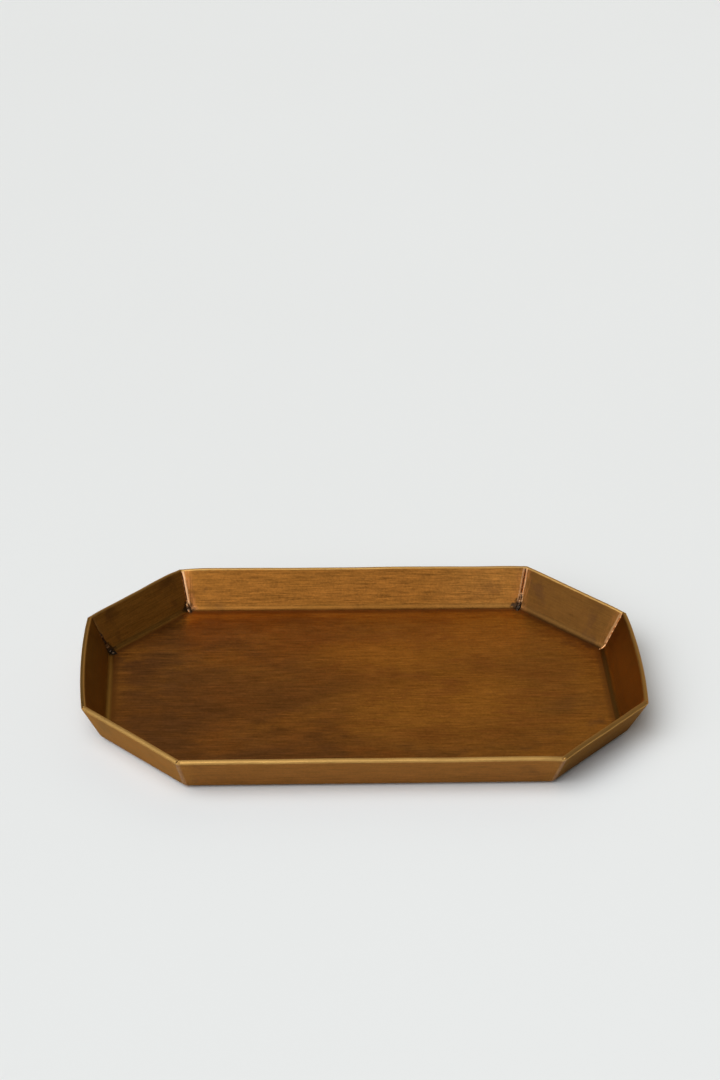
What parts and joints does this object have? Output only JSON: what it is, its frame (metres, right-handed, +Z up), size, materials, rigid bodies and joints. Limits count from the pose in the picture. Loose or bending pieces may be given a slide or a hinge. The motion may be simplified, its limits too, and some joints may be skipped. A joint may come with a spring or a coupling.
{
  "type": "brass tray",
  "caption": "Shallow octagonal serving tray folded from brass sheet, with straight flared walls, a square-cut rim and brazed corner seams; it rests flat on its floor.",
  "frame": {"origin": "on the underside, below the middle of the floor", "axes": "+X along the tray's length, +Y across it from the front wall to the back wall, +Z up out of the tray's mouth"},
  "size_m": [0.22, 0.139, 0.0175],
  "materials": {
    "sheet_brass": "aged brown brass, brushed along the tray and worn bright on the rim",
    "braze": "coppery brazing filler, filed flush outside and rough inside"
  },
  "bodies": {
    "root": {"tray_sheet": "sheet_brass", "seam_right_front": "braze", "seam_right_back": "braze", "seam_back_right": "braze", "seam_back_left": "braze", "seam_left_back": "braze", "seam_left_front": "braze", "seam_front_left": "braze", "seam_front_right": "braze"}
  },
  "joints": []
}
